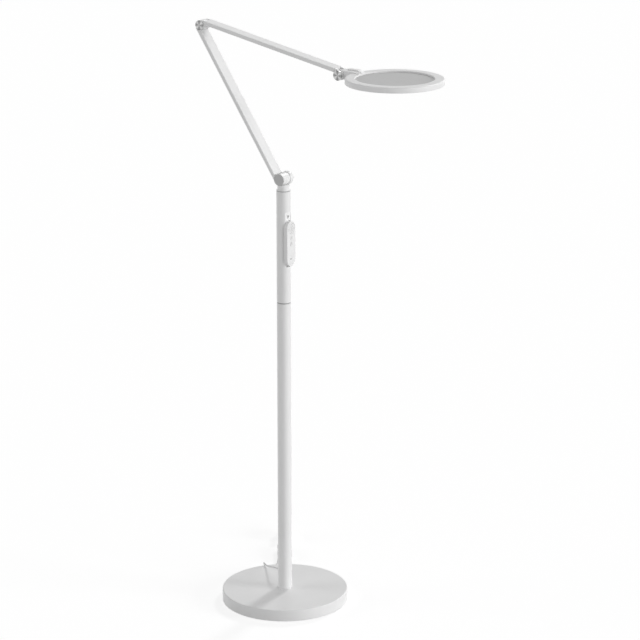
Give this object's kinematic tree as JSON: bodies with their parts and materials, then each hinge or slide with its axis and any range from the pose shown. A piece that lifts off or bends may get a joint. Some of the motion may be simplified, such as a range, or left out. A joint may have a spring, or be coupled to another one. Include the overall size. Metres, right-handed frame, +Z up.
{
  "type": "led floor lamp",
  "caption": "White LED floor lamp: round weighted base, slim pole, two folding flat arms, a thin round ring head and a remote control docked on the pole.",
  "frame": {"origin": "centre of the underside of the base, on the floor", "axes": "+Z up along the pole; the arms fold in the XZ plane and the head reaches towards +X at rest; the hinge axes run along Y"},
  "size_m": [0.6428, 0.484, 1.2891],
  "materials": {
    "white_steel": "smooth satin white powder coat",
    "white_aluminium": "satin white powder coat over aluminium",
    "white_plastic": "moulded ABS, satin",
    "spun_metal": "circularly turned disc",
    "grey_plastic": "moulded, fine matt",
    "dark_plastic": "moulded nylon",
    "iron": "as cast, primed",
    "pad_rubber": "matt sheet",
    "steel": "zinc plated",
    "nylon": "moulded nylon",
    "board": "solder mask",
    "led": "phosphor domes on a white strip",
    "panel_grey": "fine prismatic sheet, satin",
    "opal": "opal acrylic, frosted",
    "acrylic": "clear acrylic sheet with a dot pattern",
    "cable": "soft white jacket",
    "contact": "polished",
    "cell": "polished can",
    "button_grey": "moulded key, satin"
  },
  "bodies": {
    "stand": {"anti_slip_pad": "pad_rubber", "base_weight": "iron", "base_cover": "white_steel", "foot_bolt": "steel", "pole_foot_insert": "steel", "lower_tube": "white_steel", "tube_coupler": "grey_plastic", "upper_tube": "white_steel", "dock_plate": "white_plastic", "dock_magnets": "cell", "key_bezel": "white_plastic", "control_board": "board", "swivel_bush": "grey_plastic", "pole_wire": "cable", "cord_gland": "cable", "power_cord": "cable", "cord_hank": "cable", "cord_lead": "cable", "cord_tie": "grey_plastic", "adapter_case": "white_plastic", "adapter_blades": "contact"},
    "pole_key": {"pole_key": "grey_plastic"},
    "neck": {"neck_casting": "white_aluminium", "neck_cap": "white_plastic", "neck_pivot_bolt": "steel", "swivel_nut": "steel"},
    "lower_arm": {"lower_arm_hub": "white_aluminium", "hub_cap": "grey_plastic", "lower_arm_tube": "white_aluminium", "lower_arm_tongue": "white_aluminium", "elbow_bushes": "nylon", "lower_arm_wire": "cable"},
    "upper_arm": {"elbow_fork": "white_aluminium", "elbow_bolt": "steel", "elbow_caps": "spun_metal", "upper_arm_tube": "white_aluminium", "upper_arm_wire": "cable", "head_fork": "white_aluminium", "head_bolt": "steel", "head_caps": "spun_metal"},
    "head": {"head_bracket": "white_aluminium", "bracket_screws": "steel", "head_bushes": "nylon", "ring_housing": "white_plastic", "top_panel": "panel_grey", "light_guide": "acrylic", "bottom_diffuser": "opal", "led_strip": "led", "bezel_ring": "white_plastic"},
    "remote": {"remote_back_shell": "white_plastic", "remote_front_shell": "white_plastic", "remote_board": "board", "button_cell": "cell", "battery_door": "white_plastic", "ir_emitter": "dark_plastic"},
    "dial_carrier": {"dial_carrier": "grey_plastic"},
    "dial_ring": {"dial_ring": "button_grey"},
    "power_button": {"power_button": "button_grey"},
    "preset_button": {"preset_button": "button_grey"},
    "timer_button": {"timer_button": "button_grey"}
  },
  "joints": [
    {"name": "neck_swivel", "type": "hinge", "parent": "stand", "child": "neck", "pos_m": [0, 0, 0.9401], "axis": [0, 0, 1], "range_deg": [-160, 160]},
    {"name": "lower_arm_tilt", "type": "hinge", "parent": "neck", "child": "lower_arm", "pos_m": [0, 0, 0.965], "axis": [0, 1, 0], "range_deg": [-40, 60]},
    {"name": "upper_arm_fold", "type": "hinge", "parent": "lower_arm", "child": "upper_arm", "pos_m": [-0.20983, 0, 1.27845], "axis": [0, 1, 0], "range_deg": [-130, 35]},
    {"name": "head_tilt", "type": "hinge", "parent": "upper_arm", "child": "head", "pos_m": [0.15205, 0, 1.20843], "axis": [0, -1, 0], "range_deg": [-90, 60]},
    {"name": "remote_undock", "type": "slide", "parent": "stand", "child": "remote", "axis": [1, 0, 0], "range_m": [0, 0.05]},
    {"name": "pole_key_press", "type": "slide", "parent": "stand", "child": "pole_key", "axis": [-1, 0, 0], "range_m": [0, 0.0005], "stiffness_N_per_m": 600},
    {"name": "power_press", "type": "slide", "parent": "remote", "child": "power_button", "axis": [-1, 0, 0], "range_m": [0, 0.0008], "stiffness_N_per_m": 400},
    {"name": "preset_press", "type": "slide", "parent": "remote", "child": "preset_button", "axis": [-1, 0, 0], "range_m": [0, 0.0006], "stiffness_N_per_m": 400},
    {"name": "timer_press", "type": "slide", "parent": "remote", "child": "timer_button", "axis": [-1, 0, 0], "range_m": [0, 0.0006], "stiffness_N_per_m": 400},
    {"name": "dial_rock_up_down", "type": "hinge", "parent": "remote", "child": "dial_carrier", "pos_m": [0.02, 0, 0.8576], "axis": [0, 1, 0], "range_deg": [-2, 2], "stiffness_Nm_per_rad": 0.4},
    {"name": "dial_rock_left_right", "type": "hinge", "parent": "dial_carrier", "child": "dial_ring", "pos_m": [0.02, 0, 0.8576], "axis": [0, 0, 1], "range_deg": [-2, 2], "stiffness_Nm_per_rad": 0.4}
  ]
}
